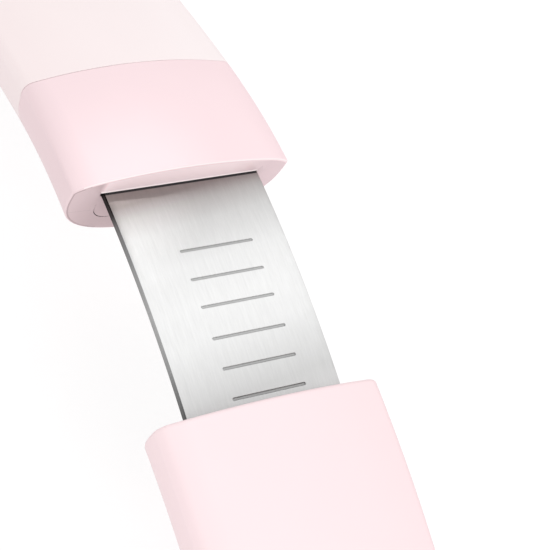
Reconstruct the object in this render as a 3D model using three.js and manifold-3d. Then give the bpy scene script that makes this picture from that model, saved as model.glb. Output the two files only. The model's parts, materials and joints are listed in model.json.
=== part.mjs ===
// Ultrasonic skin scrubber: a curved wand with a thin steel blade and a cap that slides along the blade.
//
// Everything is laid out along a spine that bends in the Y-Z plane. A place is (x, s, h), in millimetres:
//   x across the wand;
//   s along the spine, 0 at the collar's end face and positive towards the blade's tip;
//   h along the spine's normal, 0 at the blade's upper surface.
// The blade's side is -Y and the button's side is up.
import * as THREE from "three";
import { mergeVertices } from "three/addons/utils/BufferGeometryUtils.js";
import Module from "manifold-3d";

const wasm = await Module();
wasm.setup();

// ---------------------------------------------------------------- driving dimensions, in millimetres
const GAP = 0.3; // between pieces that touch or nearly touch

// Spine: the blade's own arc, then backwards through the collar, the neck and the straight grip.
const BLADE_RADIUS = 204;
const COLLAR = { length: 22.7, radius: 98 };
const NECK = { length: 40, radius: 312 };
const GRIP = { length: 68, radius: Infinity };
const TAIL_END = -(COLLAR.length + NECK.length + GRIP.length);

// Cross-section: a shallow crown in front, a small corner radius, and a deep bowl behind.
const HALF_WIDTH = 21.1;
const FRONT_H = 4.6;
const BACK_H = -13.2;
const MID_H = (FRONT_H + BACK_H) / 2;
const HALF_DEPTH = (FRONT_H - BACK_H) / 2;
const CROWN_RADIUS = 91;
const CORNER_RADIUS = 2.2;
const BOWL_POWER = 2.6;
const SHUT_LINE_SIZE = 0.974; // section size at the collar's rear, as a share of that at its end face
const TAIL_SIZE = 0.9;

const REST_PITCH = THREE.MathUtils.degToRad(5.8); // lays the tail and the cap's tip on the floor together

const WALL = 1.8;
const COLLAR_WALL = 2.0;
const COLLAR_FACE = 3.0; // thickness of the collar's end wall
const EDGE_BREAK = 0.5;
const PARTING_H = -7.5; // front and back shells meet here
const TAIL_ROUND = 4;
const CAP_ROUND = 5.5;

const SLOT = { halfWidth: 15.5, top: 0.35, bottom: -8.2, corner: 3 };
const BLADE = { halfWidth: 15, thickness: 1.0, tip: 52, tail: -34, shoulder: -4.5, tailHalfWidth: 11 };
const BEVEL = { length: 4.5, edge: 0.35 };
const GROOVE = { count: 6, first: 12.9, pitch: 5.25, length: 14, width: 0.55, depth: 0.22, x: 1.4 };

const CAP = { length: 57, size: 1.015, tipSize: 1.0, tipWall: 2.2 };
const GRIP_PAD = { outside: 17.9, front: 27, rear: 3, top: -0.4, bottom: -4.6 };
// The cap comes off along a long flat arc that sets out a little below the blade.
// drawn is how far it stands off.
const PULL = { radius: 498, lead: THREE.MathUtils.degToRad(3.93), drawn: 41.1 };
const BUTTON = { s: -70, length: 16, width: 8, flange: 1.1, proud: 0.35, chamfer: 0.5 };
const LIGHTS = { first: -84, pitch: 6, count: 3, radius: 0.9 };

// Inside the wand.
const SCREW = { shank: 0.6, head: 1.5, headHeight: 0.9, pilot: 0.9, clearance: 1 };
const CLAMP = { s: -11.5, halfLength: 2.6, halfWidth: 16.4, top: -3.8, bottom: -6, padHalfWidth: 10.4 };
const CLAMP_SCREWS_X = [-14.2, 14.2];
const PIEZO = { width: 19, length: 6.6, thickness: 2, front: -21, rear: -28.6 };
const FRAME = { x: 13.4, rail: 0.7, tie: 1.6, top: -4.9, bottom: -6.2, front: -36.5, rear: -121 };
const FRAME_TIES = [-38, -59, -66, -119.5];
const FRAME_LUGS = [-38, -119.5].flatMap((s) => [-12.4, 12.4].map((x) => ({ x, s })));
const BACK_SCREWS = [-38, -59];
const BOARD = { top: -3.6, thickness: 1.0, halfWidth: 9.5, front: -62, rear: -126.5 };
const DRIVER = { s: -47.5, h: -3.6, width: 18, length: 17, thickness: 1 };
const TRANSFORMER = { s: -47, h: -6.6, width: 12, length: 10, height: 4.1, leg: 1.3, yoke: 0.8 };
const COIL = { width: 8.6, height: 1.8, front: -43, rear: -51 };
const BATTERY = { width: 20, height: 4.2, h: -7, front: -76, rear: -116.5 };
const BATTERY_PAD = { halfWidth: 6, top: -9.4, bottom: -9.9, front: -80, rear: -113 };
const SOCKET = { width: 8.9, height: 3.2, length: 7.3, h: -4.1, inset: 0.5, wall: 0.35, tongue: 6.6 };
const GASKET = { lip: 1, corner: 2.2, depth: 2.2 };
const SPRING = { s: -54.5, radius: 0.7, top: -4.6 };
const PLATE = { s: -47.2, length: 34, width: 14, corner: 3, h0: -12.2, h1: -11.2 };
const SWITCH = { width: 6, height: 3.1, h: -1.75, well: 1.8, stem: 1.5 };

// ---------------------------------------------------------------- the spine and its cross-section
function arcStep(s, radius) {
  if (radius === Infinity) return { y: -s, z: 0, a: 0 };
  const a = s / radius;
  return { y: -radius * Math.sin(a), z: -radius * (1 - Math.cos(a)), a };
}

function joined(from, step) {
  const c = Math.cos(from.a);
  const n = Math.sin(from.a);
  return { y: from.y + step.y * c - step.z * n, z: from.z + step.y * n + step.z * c, a: from.a + step.a };
}

// Where the spine is at s, and how far its tangent has turned down.
function spine(s) {
  if (s >= 0) return arcStep(s, BLADE_RADIUS);
  let place = { y: 0, z: 0, a: 0 };
  let left = s;
  for (const part of [COLLAR, NECK]) {
    const step = Math.max(left, -part.length);
    place = joined(place, arcStep(step, part.radius));
    left -= step;
  }
  return joined(place, arcStep(left, GRIP.radius));
}

function onSpine(x, s, h) {
  const p = spine(s);
  return new THREE.Vector3(x, p.y - h * Math.sin(p.a), p.z + h * Math.cos(p.a));
}

// Section size along the wand, as a share of the size at the collar's end face.
function sizeAt(s) {
  if (s >= 0) return 1;
  if (s > -COLLAR.length) return THREE.MathUtils.lerp(1, SHUT_LINE_SIZE, -s / COLLAR.length);
  const along = (-s - COLLAR.length) / (NECK.length + GRIP.length);
  return THREE.MathUtils.lerp(SHUT_LINE_SIZE, TAIL_SIZE, along);
}

// The section's right half, from the middle of the crown to the bottom of the bowl.
function halfOutline(crownSteps, cornerSteps, bowlSteps) {
  const crownCentre = FRONT_H - CROWN_RADIUS;
  const cornerX = HALF_WIDTH - CORNER_RADIUS;
  const cornerH = crownCentre + Math.sqrt((CROWN_RADIUS - CORNER_RADIUS) ** 2 - cornerX ** 2);
  const meet = Math.atan2(cornerH - crownCentre, cornerX);
  const points = [];
  for (let i = 0; i < crownSteps; i++) {
    const t = THREE.MathUtils.lerp(Math.PI / 2, meet, i / crownSteps);
    points.push([CROWN_RADIUS * Math.cos(t), crownCentre + CROWN_RADIUS * Math.sin(t)]);
  }
  for (let i = 0; i < cornerSteps; i++) {
    const t = meet * (1 - i / cornerSteps);
    points.push([cornerX + CORNER_RADIUS * Math.cos(t), cornerH + CORNER_RADIUS * Math.sin(t)]);
  }
  for (let i = 0; i <= bowlSteps; i++) {
    const t = (i / bowlSteps) * (Math.PI / 2);
    const power = 2 / BOWL_POWER;
    points.push([HALF_WIDTH * Math.cos(t) ** power, cornerH - (cornerH - BACK_H) * Math.sin(t) ** power]);
  }
  return points;
}

const mirrored = (half) => [...half, ...half.slice(1, -1).reverse().map(([x, h]) => [-x, h])];
const SKIN_OUTLINE = mirrored(halfOutline(3, 3, 6));
const INNER_OUTLINE = mirrored(halfOutline(2, 1, 4)); // inside faces, out of sight

// The section at s, shrunk by inset all round.
function ring(s, inset, size = sizeAt(s), outline = inset < 1.5 ? SKIN_OUTLINE : INNER_OUTLINE) {
  const across = (HALF_WIDTH * size - inset) / HALF_WIDTH;
  const deep = (HALF_DEPTH * size - inset) / HALF_DEPTH;
  return outline.map(([x, h]) => onSpine(x * across, s, MID_H + (h - MID_H) * deep));
}

// ---------------------------------------------------------------- solids
// A closed solid through rings of equally many points, given from the tail towards the tip.
function loft(rings) {
  const count = rings[0].length;
  const positions = rings.flat().flatMap((p) => [p.x, p.y, p.z]);
  const index = [];
  for (let r = 0; r + 1 < rings.length; r++)
    for (let i = 0; i < count; i++) {
      const a = r * count + i;
      const b = r * count + ((i + 1) % count);
      index.push(a, a + count, b, b, a + count, b + count);
    }
  const last = (rings.length - 1) * count;
  for (let i = 1; i + 1 < count; i++) index.push(0, i, i + 1, last, last + i + 1, last + i);
  const geometry = new THREE.BufferGeometry();
  geometry.setAttribute("position", new THREE.Float32BufferAttribute(positions, 3));
  geometry.setIndex(index);
  return toSolid(geometry);
}

function toSolid(geometry) {
  const bare = geometry.clone();
  for (const name of Object.keys(bare.attributes)) if (name !== "position") bare.deleteAttribute(name);
  const merged = mergeVertices(bare, 1e-4);
  const triVerts = new Uint32Array(merged.index.array);
  const make = () => new wasm.Manifold(new wasm.Mesh({
    numProp: 3, vertProperties: new Float32Array(merged.attributes.position.array), triVerts,
  }));
  const solid = make();
  if (solid.volume() > 0) return solid;
  for (let i = 0; i < triVerts.length; i += 3) {
    [triVerts[i + 1], triVerts[i + 2]] = [triVerts[i + 2], triVerts[i + 1]];
  }
  return make();
}

function toGeometry(solid) {
  const mesh = solid.simplify(0.01).getMesh();
  const geometry = new THREE.BufferGeometry();
  geometry.setAttribute("position", new THREE.BufferAttribute(mesh.vertProperties, 3));
  geometry.setIndex(new THREE.BufferAttribute(mesh.triVerts, 1));
  return geometry;
}

const joinAll = (solids) => solids.reduce((whole, piece) => whole.add(piece));
const cutAll = (solid, tools) => tools.reduce((whole, tool) => whole.subtract(tool), solid);

// Every solid that follows the spine bends at the same places, so that neighbouring facets line up.
const KNOTS = [
  ...stepsFrom(-COLLAR.length - NECK.length, -COLLAR.length, 5),
  ...stepsFrom(-COLLAR.length, 0, 4),
  ...stepsFrom(0, 56, 7),
];

function stepsFrom(from, to, count) {
  return Array.from({ length: count }, (_, i) => THREE.MathUtils.lerp(from, to, i / count));
}

function stations(from, to) {
  const between = KNOTS.filter((s) => s > from + 0.2 && s < to - 0.2);
  return [from, ...between, to];
}

// A rectangular bar that follows the spine.
function bar(x0, x1, s0, s1, h0, h1) {
  return loft(stations(s0, s1).map((s) => [
    onSpine(x0, s, h0), onSpine(x1, s, h0), onSpine(x1, s, h1), onSpine(x0, s, h1),
  ]));
}

// Sections from a closed round end to the other end: [s, inset] pairs whose inset follows a quarter circle.
function roundEnd(end, radius, inward, steps = 5) {
  return Array.from({ length: steps }, (_, i) => {
    const t = (i / steps) * (Math.PI / 2);
    return [end + inward * radius * (1 - Math.cos(t)), radius * (1 - Math.sin(t))];
  });
}

// Moves a geometry made round the origin, with Y backwards along the wand and Z up, to a place on the spine.
function at(geometry, x, s, h) {
  const place = onSpine(x, s, h);
  const matrix = new THREE.Matrix4().makeRotationX(spine(s).a).setPosition(place);
  return geometry.clone().applyMatrix4(matrix);
}

function boxAt(width, length, height, x, s, h) {
  return toSolid(at(new THREE.BoxGeometry(width, length, height), x, s, h));
}

// An upright cylinder from h0 up to h1.
function postAt(radius, x, s, h0, h1, sides = 14) {
  const post = new THREE.CylinderGeometry(radius, radius, h1 - h0, sides).rotateX(Math.PI / 2);
  return toSolid(at(post, x, s, (h0 + h1) / 2));
}

function roundedRect(width, height, radius) {
  const x = width / 2;
  const y = height / 2;
  const shape = new THREE.Shape();
  shape.moveTo(-x + radius, -y);
  shape.lineTo(x - radius, -y).absarc(x - radius, -y + radius, radius, -Math.PI / 2, 0);
  shape.lineTo(x, y - radius).absarc(x - radius, y - radius, radius, 0, Math.PI / 2);
  shape.lineTo(-x + radius, y).absarc(-x + radius, y - radius, radius, Math.PI / 2, Math.PI);
  shape.lineTo(-x, -y + radius).absarc(-x + radius, -y + radius, radius, Math.PI, 1.5 * Math.PI);
  return shape;
}

// A plate with rounded corners, from h0 up to h1, lying along the wand.
function plateAt(width, length, radius, x, s, h0, h1, bevel = 0, curveSegments = 5) {
  const options = { depth: h1 - h0 - bevel, curveSegments, bevelEnabled: false };
  const flat = new THREE.ExtrudeGeometry(roundedRect(width, length, radius), options);
  const plate = toSolid(at(flat, x, s, h0));
  if (!bevel) return plate;
  const top = new THREE.ExtrudeGeometry(roundedRect(width - 2 * bevel, length - 2 * bevel, radius - bevel), {
    depth: 0.001,
    curveSegments,
    bevelEnabled: true,
    bevelSize: bevel,
    bevelThickness: bevel,
    bevelSegments: 1,
  });
  return plate.add(toSolid(at(top, x, s, h1 - bevel)));
}

// A block with rounded corners that stands across the wand, from s0 to s1.
function crossBlock(width, height, radius, x, h, s0, s1, curveSegments = 4) {
  const options = { depth: s1 - s0, curveSegments, bevelEnabled: false };
  const block = new THREE.ExtrudeGeometry(roundedRect(width, height, radius), options);
  block.rotateX(Math.PI / 2).translate(0, s1 - s0, 0);
  return toSolid(at(block, x, s1, h));
}

// A block across the wand from s0 to s1, square at its top and rounded at its two lower corners.
function squareTopBlock(halfWidth, top, bottom, corner, s0, s1) {
  const rounded = crossBlock(2 * halfWidth, top - bottom, corner, 0, (top + bottom) / 2, s0, s1);
  const height = (top - bottom) / 2;
  return rounded.add(boxAt(2 * halfWidth, s1 - s0, height, 0, (s0 + s1) / 2, top - height / 2));
}

// A wire through places given as [x, s, h].
function wire(places, radius = 0.55) {
  const extrudePath = new THREE.CatmullRomCurve3(places.map(([x, s, h]) => onSpine(x, s, h)));
  const section = new THREE.Shape().absarc(0, 0, radius, 0, 2 * Math.PI);
  return new THREE.ExtrudeGeometry(section, { steps: 9, curveSegments: 3, extrudePath, bevelEnabled: false });
}

// ---------------------------------------------------------------- materials
function finish(color, roughness, metalness = 0) {
  return new THREE.MeshStandardMaterial({ color, roughness, metalness });
}

const BLUSH = finish(0xf9eeee, 0.35);
const PINK = finish(0xfbe3e6, 0.35);
const STEEL = finish(0xc9c9c9, 0.3, 1);
const CHROME = finish(0xdcdcdc, 0.12, 1);
const RUBBER = finish(0xead4d8, 0.8);
const NYLON = finish(0xe9e7e2, 0.6);
const BOARD_GREEN = finish(0x1d5b3a, 0.5);
const BLACK = finish(0x1b1b1c, 0.6);
const CERAMIC = finish(0xd8d2c0, 0.5);
const COPPER = finish(0xb87333, 0.35, 1);
const FOIL = finish(0x6f8fb5, 0.4);
const LENS = finish(0xf4f4f4, 0.2);
const WIRE_RED = finish(0xb3202a, 0.5);
const WIRE_BLACK = finish(0x1a1a1a, 0.5);

// ---------------------------------------------------------------- handle: front and back shells
function handleHollow() {
  const start = -COLLAR.length + 1;
  const end = TAIL_END + 2.2;
  const tail = roundEnd(end, TAIL_ROUND - 1, 1, 3).map(([s, inset]) => ring(s, WALL + inset));
  return loft([...tail, ...stations(end + TAIL_ROUND - 1, start).map((s) => ring(s, WALL))]);
}

function handleOuter() {
  const skinRing = (s, inset) => ring(s, inset, sizeAt(s), SKIN_OUTLINE);
  const tail = roundEnd(TAIL_END, TAIL_ROUND, 1).map(([s, inset]) => skinRing(s, inset));
  const straight = stations(TAIL_END + TAIL_ROUND, -COLLAR.length - GAP).map((s) => skinRing(s, 0));
  return loft([...tail, ...straight]);
}

function frontShell(skin) {
  const half = bar(-30, 30, TAIL_END - 5, 0, PARTING_H + GAP / 2, 30);
  const bosses = FRAME_LUGS.map(({ x, s }) => postAt(2.1, x, s, FRAME.top + GAP, 1.6, 10));
  const pilots = FRAME_LUGS.map(({ x, s }) => postAt(SCREW.pilot, x, s, FRAME.top, -0.6, 8));
  const lights = lightPlaces().map((s) => postAt(LIGHTS.radius + GAP, 0, s, 0, 8, 12));
  return cutAll(skin.intersect(half).add(joinAll(bosses)), [
    ...pilots,
    ...lights,
    plateAt(BUTTON.width + 2 * GAP, BUTTON.length + 2 * GAP, BUTTON.width / 2 + GAP, 0, BUTTON.s, 0, 8, 0, 6),
    crossBlock(11.5, 5.8, 2.6, 0, SOCKET.h, TAIL_END - 1, TAIL_END + 4, 3),
  ]);
}

// The contact plate sits in a shallow pocket, and the back screws go in under it.
function backShell(skin) {
  const { s, length, width, corner, h1 } = PLATE;
  const half = bar(-30, 30, TAIL_END - 5, 0, -30, PARTING_H - GAP / 2);
  const floorH = h1 + GAP;
  const pocket = plateAt(width + 2 * GAP, length + 2 * GAP, corner + GAP, 0, s, -20, floorH);
  const floor = plateAt(width + 3, length + 3, corner + 1, 0, s, floorH, floorH + 1.7);
  const holes = [...BACK_SCREWS, SPRING.s].map((place) => postAt(SCREW.clearance, 0, place, -15, -5, 10));
  const counterbores = BACK_SCREWS.map((place) => postAt(SCREW.head + GAP, 0, place, -15, floorH + 1.45, 12));
  return cutAll(skin.intersect(half).subtract(pocket).add(floor), [...holes, ...counterbores]);
}

// ---------------------------------------------------------------- collar
const SEAL = { rear: -COLLAR.length - 3.4, front: -COLLAR.length - 2.2 };

function collarSleeve() {
  const outer = loft([
    ...stations(-COLLAR.length, -EDGE_BREAK).map((s) => ring(s, 0)),
    ring(-0.3 * EDGE_BREAK, 0.3 * EDGE_BREAK),
    ring(0, EDGE_BREAK),
  ]);
  const hollow = loft(stations(-COLLAR.length - 1, -COLLAR_FACE).map((s) => ring(s, COLLAR_WALL)));
  const spigot = loft([-COLLAR.length - 5, -COLLAR.length + 1].map((s) => ring(s, WALL + GAP)))
    .add(loft([-COLLAR.length, -COLLAR.length + 1.8].map((s) => ring(s, 1))))
    .subtract(loft([-COLLAR.length - 6, -COLLAR.length + 2].map((s) => ring(s, 3.3))));
  const groove = loft([SEAL.rear - GAP, SEAL.front + GAP].map((s) => ring(s, 1)))
    .subtract(loft([SEAL.rear - 1, SEAL.front + 1].map((s) => ring(s, 2.8))));
  const bosses = CLAMP_SCREWS_X.map((x) => postAt(2, x, CLAMP.s, CLAMP.top + GAP, 2, 12));
  const pilots = CLAMP_SCREWS_X.map((x) => postAt(SCREW.pilot, x, CLAMP.s, -4, 0.6, 8));
  const slot = squareTopBlock(SLOT.halfWidth, SLOT.top, SLOT.bottom, SLOT.corner, -COLLAR_FACE - 1, 1);
  return cutAll(outer.subtract(hollow).add(spigot).add(joinAll(bosses)), [...pilots, slot, groove]);
}

// Fills the slot under the blade.
function bladeGland() {
  const top = -BLADE.thickness - GAP;
  return squareTopBlock(SLOT.halfWidth - GAP, top, SLOT.bottom + GAP, SLOT.corner - GAP, -COLLAR_FACE, 0);
}

function collarSeal() {
  const outer = loft([SEAL.rear, SEAL.front].map((s) => ring(s, WALL + GAP)));
  return outer.subtract(loft([SEAL.rear - 1, SEAL.front + 1].map((s) => ring(s, 2.5))));
}

// ---------------------------------------------------------------- blade and its drive
function blade() {
  const { halfWidth, thickness, tip, tail, shoulder, tailHalfWidth } = BLADE;
  const slice = (half, s, low) => [
    onSpine(-half, s, low), onSpine(half, s, low), onSpine(half, s, 0), onSpine(-half, s, 0),
  ];
  const front = loft([
    ...stations(shoulder, tip - BEVEL.length).map((s) => slice(halfWidth, s, -thickness)),
    slice(halfWidth, tip, -BEVEL.edge),
  ]);
  const rear = loft(stations(tail, shoulder + 1).map((s) => slice(tailHalfWidth, s, -thickness)));
  const grooves = Array.from({ length: GROOVE.count }, (_, i) => {
    const s = GROOVE.first + i * GROOVE.pitch;
    return plateAt(GROOVE.length, GROOVE.width, GROOVE.width / 2, GROOVE.x, s, -GROOVE.depth, 1, 0, 2);
  });
  return cutAll(front.add(rear), grooves);
}

function clampBar(halfWidth, h0, h1) {
  return bar(-halfWidth, halfWidth, CLAMP.s - CLAMP.halfLength, CLAMP.s + CLAMP.halfLength, h0, h1);
}

function bladeClamp() {
  const holes = CLAMP_SCREWS_X.map((x) => postAt(SCREW.clearance, x, CLAMP.s, -8, 0, 10));
  return cutAll(clampBar(CLAMP.halfWidth, CLAMP.bottom, CLAMP.top), holes);
}

function piezoPlate(s) {
  const { width, length, thickness } = PIEZO;
  return boxAt(width, length, thickness, 0, s, -BLADE.thickness - GAP - thickness / 2);
}

// A pan-head screw that points up, its head's upper face at headH.
function screw(x, s, headH, tipH) {
  const head = postAt(SCREW.head, x, s, headH - SCREW.headHeight, headH, 12);
  return head.add(postAt(SCREW.shank, x, s, headH - 0.3, tipH, 8));
}

// ---------------------------------------------------------------- button, switch and lights
function lightPlaces() {
  return Array.from({ length: LIGHTS.count }, (_, i) => LIGHTS.first - i * LIGHTS.pitch);
}

const surfaceH = (s) => MID_H + HALF_DEPTH * sizeAt(s); // the crown's middle line

function modeButton() {
  const { s, length, width, flange, proud, chamfer } = BUTTON;
  const inside = surfaceH(s) - WALL - GAP;
  const top = plateAt(width, length, width / 2, 0, s, 1.0, surfaceH(s) + proud, chamfer, 5);
  const rimRadius = width / 2 + flange;
  const rim = plateAt(2 * rimRadius, length + 2 * flange, rimRadius, 0, s, 1.0, inside - 0.2, 0, 4);
  return joinAll([top, rim, postAt(1.4, 0, s, 0.8, 1.2, 10)]);
}

function lightPipe(s) {
  const flange = postAt(1.8, 0, s, 0.9, surfaceH(s) - WALL - GAP - 0.1, 12);
  return flange.add(postAt(LIGHTS.radius, 0, s, 1.0, surfaceH(s), 12));
}

function switchBody() {
  const { width, height, h, well } = SWITCH;
  return boxAt(width, width, height, 0, BUTTON.s, h).subtract(postAt(well, 0, BUTTON.s, -1.9, 1, 12));
}

// ---------------------------------------------------------------- electronics
function circuitBoard() {
  const { top, thickness, halfWidth, front, rear } = BOARD;
  const board = bar(-halfWidth, halfWidth, rear, front, top - thickness, top);
  return board.subtract(boxAt(SOCKET.width + 2 * GAP, 12, 3, 0, rear, top));
}

function usbSocket() {
  const { width, height, length, h, inset, wall, tongue } = SOCKET;
  const mouth = TAIL_END + inset;
  const back = mouth + length;
  const shell = crossBlock(width, height, 1.3, 0, h, mouth, back);
  const hollow = crossBlock(width - 2 * wall, height - 2 * wall, 1.0, 0, h, mouth - 1, back - 1);
  return shell.subtract(hollow).add(boxAt(tongue, length - 1.4, 0.7, 0, (mouth + back) / 2 + 0.4, h));
}

function usbGasket() {
  const { width, height, h, inset } = SOCKET;
  const { lip, corner, depth } = GASKET;
  const rear = TAIL_END + inset;
  const outer = crossBlock(width + 2 * lip, height + 2 * lip, corner, 0, h, rear, TAIL_END + depth);
  return outer.subtract(crossBlock(width + 2 * GAP, height + 2 * GAP, 1.6, 0, h, TAIL_END - 1, TAIL_END + 4));
}

function transformerCore() {
  const { s, h, width, length, height, leg, yoke } = TRANSFORMER;
  const outer = boxAt(width, length, height, 0, s, h);
  return outer.subtract(boxAt(width - 2 * leg, length + 4, height - 2 * yoke, 0, s, h));
}

function transformerCoil() {
  return crossBlock(COIL.width, COIL.height, 0.8, 0, TRANSFORMER.h, COIL.rear, COIL.front);
}

function driverBoard() {
  return boxAt(DRIVER.width, DRIVER.length, DRIVER.thickness, 0, DRIVER.s, DRIVER.h);
}

function batteryCell() {
  return crossBlock(BATTERY.width, BATTERY.height, 1.4, 0, BATTERY.h, BATTERY.rear, BATTERY.front);
}

function batteryPad() {
  const { halfWidth, top, bottom, front, rear } = BATTERY_PAD;
  return bar(-halfWidth, halfWidth, rear, front, bottom, top);
}

// From the cell's front end up to the circuit board.
function batteryLead(x) {
  return wire([[x, -75.6, -7.2], [x, -73.4, -7.4], [x, -70.8, -6.6], [x, -69.8, -5.6]]);
}

// From a piezo plate, round the frame's front tie and up to the driver board.
function piezoLead(side, start) {
  return wire([
    [side * 6, start, -4.0], [side * 6, start - 1.4, -6.3], [side * 7, -38, -8],
    [side * 7, -41, -7], [side * 7, -41.6, -4.8],
  ]);
}

function innerFrame() {
  const { x: railX, rail, tie, top, bottom, front, rear } = FRAME;
  const rails = [-railX, railX].map((x) => bar(x - rail, x + rail, rear, front, bottom, top));
  const ties = FRAME_TIES.map((s) => bar(-railX, railX, s - tie, s + tie, bottom, top));
  const lugs = FRAME_LUGS.map(({ x, s }) => postAt(2.1, x, s, bottom, top, 8));
  const bosses = BACK_SCREWS.map((s) => postAt(2.4, 0, s, -8.4, -5, 12));
  const holes = FRAME_LUGS.map(({ x, s }) => postAt(SCREW.clearance, x, s, -9, 0, 8));
  const pilots = BACK_SCREWS.map((s) => postAt(SCREW.pilot, 0, s, -10.5, -5.6, 8));
  return cutAll(joinAll([...rails, ...ties, ...lugs, ...bosses]), [...holes, ...pilots]);
}

function contactPlate() {
  return plateAt(PLATE.width, PLATE.length, PLATE.corner, 0, PLATE.s, PLATE.h0, PLATE.h1);
}

function contactSpring() {
  return postAt(SPRING.radius, 0, SPRING.s, PLATE.h1 + GAP, SPRING.top, 10);
}

// ---------------------------------------------------------------- cap
// It is built closed, its mouth against the collar, and then drawn off as one piece.
const capSize = (s) => THREE.MathUtils.lerp(CAP.size, CAP.tipSize, s / CAP.length);
const capRing = (s, inset) => ring(s, inset, capSize(s), SKIN_OUTLINE);
const capInnerRing = (s, inset) => ring(s, WALL + inset, capSize(s));

function capShell() {
  const tip = CAP.length;
  const outer = loft([
    capRing(0, EDGE_BREAK),
    capRing(0.3 * EDGE_BREAK, 0.3 * EDGE_BREAK),
    ...stations(EDGE_BREAK, tip - CAP_ROUND).map((s) => capRing(s, 0)),
    ...roundEnd(tip, CAP_ROUND, -1).reverse().map(([s, inset]) => capRing(s, inset)),
  ]);
  const end = tip - CAP.tipWall;
  const inner = loft([
    ...stations(-2, end - CAP_ROUND + 1.5).map((s) => capInnerRing(s, 0)),
    ...roundEnd(end, CAP_ROUND - 1.5, -1, 3).reverse().map(([s, inset]) => capInnerRing(s, inset)),
  ]);
  return outer.subtract(inner);
}

// A soft pad on the cap's side wall that grips one edge of the blade.
function gripPad(side) {
  const { outside, front, rear, top, bottom } = GRIP_PAD;
  const inside = BLADE.halfWidth + GAP;
  const [x0, x1] = side > 0 ? [inside, outside] : [-outside, -inside];
  return bar(x0, x1, rear, front, bottom, top);
}

// Turns a group about an axis parallel to X through (y, z).
function turnAbout(group, y, z, angle) {
  const offset = new THREE.Vector3(0, -y, -z).applyAxisAngle(new THREE.Vector3(1, 0, 0), angle);
  group.rotation.x = angle;
  group.position.set(0, y + offset.y, z + offset.z);
}

// ---------------------------------------------------------------- assembly
const wand = new THREE.Group();
const cap = new THREE.Group();
wand.add(cap);

function add(name, shape, material, parent = wand) {
  const mesh = new THREE.Mesh(shape.isBufferGeometry ? shape : toGeometry(shape), material);
  mesh.name = name;
  parent.add(mesh);
}

const skin = handleOuter().subtract(handleHollow());
add("front_shell", frontShell(skin), BLUSH);
add("back_shell", backShell(skin), BLUSH);
add("collar_sleeve", collarSleeve(), PINK);
add("blade_gland", bladeGland(), PINK);
add("collar_seal", collarSeal(), RUBBER);

add("blade", blade(), STEEL);
add("clamp_pad_upper", clampBar(CLAMP.padHalfWidth, GAP, 1.4), RUBBER);
add("clamp_pad_lower", clampBar(CLAMP.padHalfWidth, CLAMP.top + GAP, -BLADE.thickness - GAP), RUBBER);
add("blade_clamp", bladeClamp(), NYLON);
CLAMP_SCREWS_X.forEach((x, i) => {
  add(`clamp_screw_${i + 1}`, screw(x, CLAMP.s, CLAMP.bottom - GAP, GAP), STEEL);
});
add("piezo_plate_front", piezoPlate(PIEZO.front), CERAMIC);
add("piezo_plate_rear", piezoPlate(PIEZO.rear), CERAMIC);

add("mode_button", modeButton(), PINK);
add("switch_body", switchBody(), BLACK);
add("switch_plunger", postAt(SWITCH.stem, 0, BUTTON.s, -1.1, 0.5, 12), NYLON);
lightPlaces().forEach((s, i) => {
  add(`light_pipe_${i + 1}`, lightPipe(s), LENS);
  add(`led_${i + 1}`, boxAt(1.6, 3, 0.8, 0, s, BOARD.top + GAP + 0.4), CERAMIC);
});

add("inner_frame", innerFrame(), NYLON);
FRAME_LUGS.forEach(({ x, s }, i) => {
  add(`frame_screw_${i + 1}`, screw(x, s, FRAME.bottom - GAP, -1), STEEL);
});
BACK_SCREWS.forEach((s, i) => {
  add(`back_screw_${i + 1}`, screw(0, s, -9.75, FRAME.bottom), STEEL);
});

add("circuit_board", circuitBoard(), BOARD_GREEN);
add("control_chip", boxAt(7, 7, 1, 0, -106, BOARD.top + GAP + 0.5), BLACK);
add("charge_chip", boxAt(4, 5, 1.2, 4, -116, BOARD.top + GAP + 0.6), BLACK);
add("usb_socket", usbSocket(), CHROME);
add("usb_gasket", usbGasket(), RUBBER);
add("driver_board", driverBoard(), BOARD_GREEN);
add("transformer_core", transformerCore(), BLACK);
add("transformer_coil", transformerCoil(), COPPER);

add("battery_cell", batteryCell(), FOIL);
add("battery_pad", batteryPad(), BLACK);
add("battery_lead_red", batteryLead(4), WIRE_RED);
add("battery_lead_black", batteryLead(-4), WIRE_BLACK);
add("piezo_lead_red", piezoLead(1, -28), WIRE_RED);
add("piezo_lead_black", piezoLead(-1, -21), WIRE_BLACK);

add("contact_plate", contactPlate(), CHROME);
add("contact_spring", contactSpring(), CHROME);

add("cap_shell", capShell(), PINK, cap);
add("grip_pad_left", gripPad(-1), RUBBER, cap);
add("grip_pad_right", gripPad(1), RUBBER, cap);
const { radius, lead, drawn } = PULL;
turnAbout(cap, radius * Math.sin(lead), -radius * Math.cos(lead), drawn / radius);

// The wand lies on its back, on the bottom of its tail and of the cap's tip.
wand.rotation.x = REST_PITCH;
const whole = new THREE.Group();
whole.add(wand);
whole.updateMatrixWorld(true);
const box = new THREE.Box3().setFromObject(wand, true);
wand.position.set(0, -(box.min.y + box.max.y) / 2, -box.min.z);

export default whole;
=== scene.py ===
"""Looks for the ultrasonic skin scrubber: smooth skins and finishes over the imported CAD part.

Lengths are in millimetres until place() turns them into metres. A place on the wand is (x, s, h): x across,
s along the bent spine (0 at the collar's end face, positive towards the blade's tip), h above the blade.
"""
import json
import math

import bmesh
import bpy
from mathutils import Matrix, Vector
from mathutils.geometry import delaunay_2d_cdt


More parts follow.
